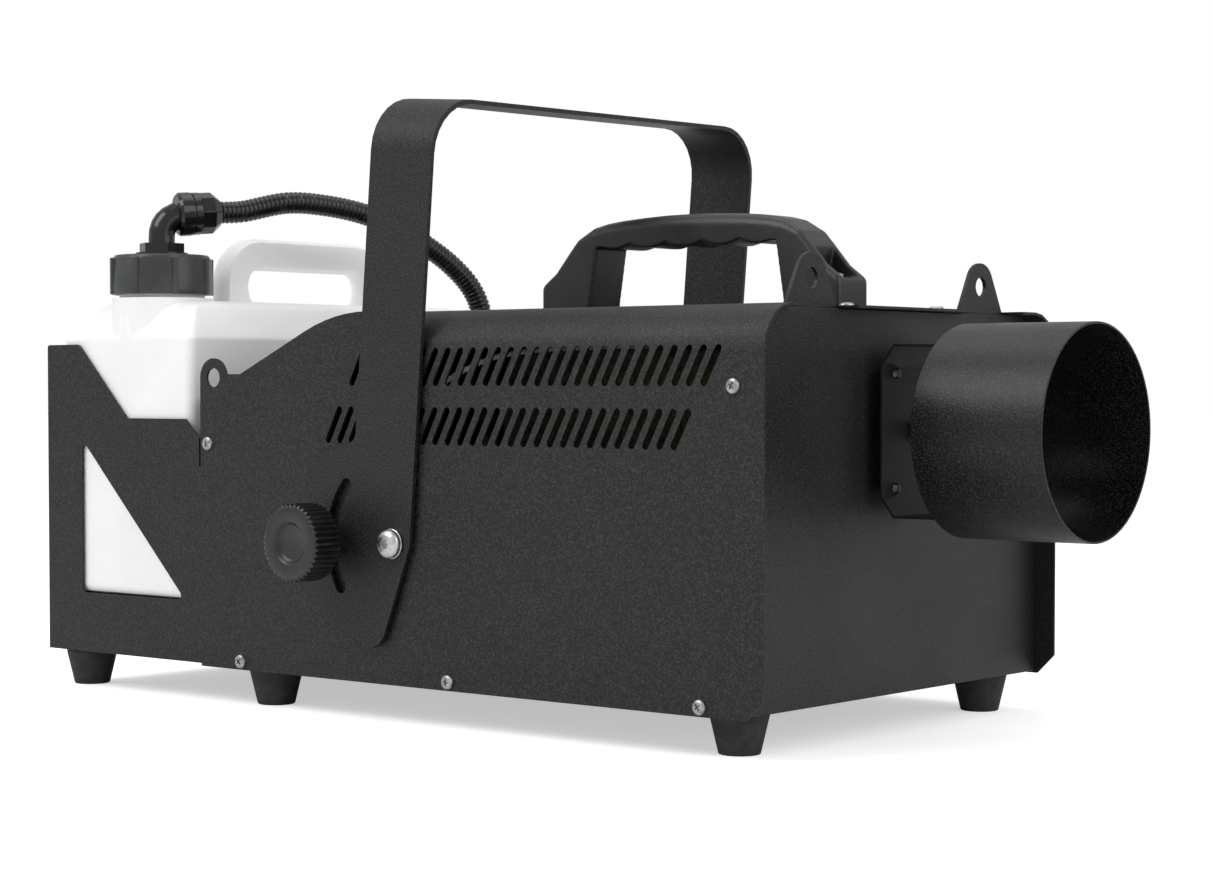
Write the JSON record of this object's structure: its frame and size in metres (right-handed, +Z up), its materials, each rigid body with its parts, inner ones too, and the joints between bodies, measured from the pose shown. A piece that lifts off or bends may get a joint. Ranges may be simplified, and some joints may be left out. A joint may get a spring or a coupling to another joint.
{
  "type": "fog machine",
  "caption": "Black sheet-metal stage fog machine with a round front duct, hanging yoke, carrying handle and a white fluid tank cradled at the rear.",
  "frame": {"origin": "middle of the machine's bounding box, on the surface that its feet stand on", "axes": "+X the way the fog leaves the duct, +Z up, +Y towards the side away from the pictured one"},
  "size_m": [0.698, 0.3768, 0.37],
  "materials": {
    "black_powder_coat": "fine-textured satin powder coat",
    "zinc_plate": "bright zinc plate",
    "matte_black_plastic": "moulded, lightly textured",
    "gloss_black_plastic": "smooth moulded nylon",
    "natural_polyethylene": "translucent natural, soft sheen",
    "black_rubber": "matte",
    "brass": "turned",
    "aluminium": "as cast",
    "insulation": "glass-fibre blanket",
    "circuit_board": "solder mask"
  },
  "bodies": {
    "body": {"cover": "black_powder_coat", "base_tray": "black_powder_coat", "front_plate": "black_powder_coat", "rig_eye_near": "black_powder_coat", "rig_eye_far": "black_powder_coat", "bay_wall": "black_powder_coat", "rear_panel": "black_powder_coat", "tank_shelf": "black_powder_coat", "duct_tube": "black_powder_coat", "duct_bracket": "black_powder_coat", "duct_standoff_1": "zinc_plate", "duct_standoff_2": "zinc_plate", "duct_standoff_3": "zinc_plate", "duct_standoff_4": "zinc_plate", "heater_stand": "zinc_plate", "pump": "zinc_plate", "handle_screw_front": "zinc_plate", "handle_screw_rear": "zinc_plate", "pivot_bolt_near": "zinc_plate", "pivot_bolt_far": "zinc_plate", "handle": "matte_black_plastic", "mains_inlet": "matte_black_plastic", "fuse_cap": "matte_black_plastic", "switch_bezel": "matte_black_plastic", "dmx_in": "matte_black_plastic", "dmx_out": "matte_black_plastic", "hose_elbow": "gloss_black_plastic", "elbow_nut": "gloss_black_plastic", "connector_nut": "gloss_black_plastic", "fluid_hose": "gloss_black_plastic", "hose_gland": "gloss_black_plastic", "display": "gloss_black_plastic", "tank_jug": "natural_polyethylene", "dip_tube": "natural_polyethylene", "feed_tube": "natural_polyethylene", "heater_wire": "natural_polyethylene", "pivot_spacer_near": "natural_polyethylene", "pivot_spacer_far": "natural_polyethylene", "cap_seal": "black_rubber", "foot_front_near": "black_rubber", "foot_middle_near": "black_rubber", "foot_rear_near": "black_rubber", "foot_front_far": "black_rubber", "foot_middle_far": "black_rubber", "foot_rear_far": "black_rubber", "nozzle": "brass", "heater_tube": "brass", "heater_block": "aluminium", "heater_blanket": "insulation", "control_board": "circuit_board"},
    "yoke": {"yoke": "black_powder_coat"},
    "knob_near": {"knob_near": "matte_black_plastic"},
    "knob_far": {"knob_far": "matte_black_plastic"},
    "tank_cap": {"tank_cap": "matte_black_plastic"},
    "power_rocker": {"power_rocker": "gloss_black_plastic"},
    "button_1": {"button_1": "matte_black_plastic"},
    "button_2": {"button_2": "matte_black_plastic"},
    "button_3": {"button_3": "matte_black_plastic"},
    "button_4": {"button_4": "matte_black_plastic"}
  },
  "joints": [
    {"name": "yoke_tilt", "type": "hinge", "parent": "body", "child": "yoke", "pos_m": [-0.0263, 0, 0.1053], "axis": [0, 1, 0], "range_deg": [-32, 26]},
    {"name": "knob_near_turn", "type": "hinge", "parent": "body", "child": "knob_near", "pos_m": [-0.0763, -0.17, 0.1053], "axis": [0, -1, 0], "range_deg": [-180, 180]},
    {"name": "knob_far_turn", "type": "hinge", "parent": "body", "child": "knob_far", "pos_m": [-0.0763, 0.17, 0.1053], "axis": [0, 1, 0], "range_deg": [-180, 180]},
    {"name": "cap_turn", "type": "hinge", "parent": "body", "child": "tank_cap", "pos_m": [-0.2744, -0.1135, 0.27], "axis": [0, 0, 1], "range_deg": [-30, 330]},
    {"name": "rocker_press", "type": "hinge", "parent": "body", "child": "power_rocker", "pos_m": [-0.336, -0.06002, 0.0435], "axis": [0, 0, 1], "range_deg": [0, 16]},
    {"name": "button_1_press", "type": "slide", "parent": "body", "child": "button_1", "axis": [1, 0, 0], "range_m": [0, 0.0008], "stiffness_N_per_m": 300, "springref_m": -0.0002},
    {"name": "button_2_press", "type": "slide", "parent": "body", "child": "button_2", "axis": [1, 0, 0], "range_m": [0, 0.0008], "stiffness_N_per_m": 300, "springref_m": -0.0002},
    {"name": "button_3_press", "type": "slide", "parent": "body", "child": "button_3", "axis": [1, 0, 0], "range_m": [0, 0.0008], "stiffness_N_per_m": 300, "springref_m": -0.0002},
    {"name": "button_4_press", "type": "slide", "parent": "body", "child": "button_4", "axis": [1, 0, 0], "range_m": [0, 0.0008], "stiffness_N_per_m": 300, "springref_m": -0.0002}
  ]
}
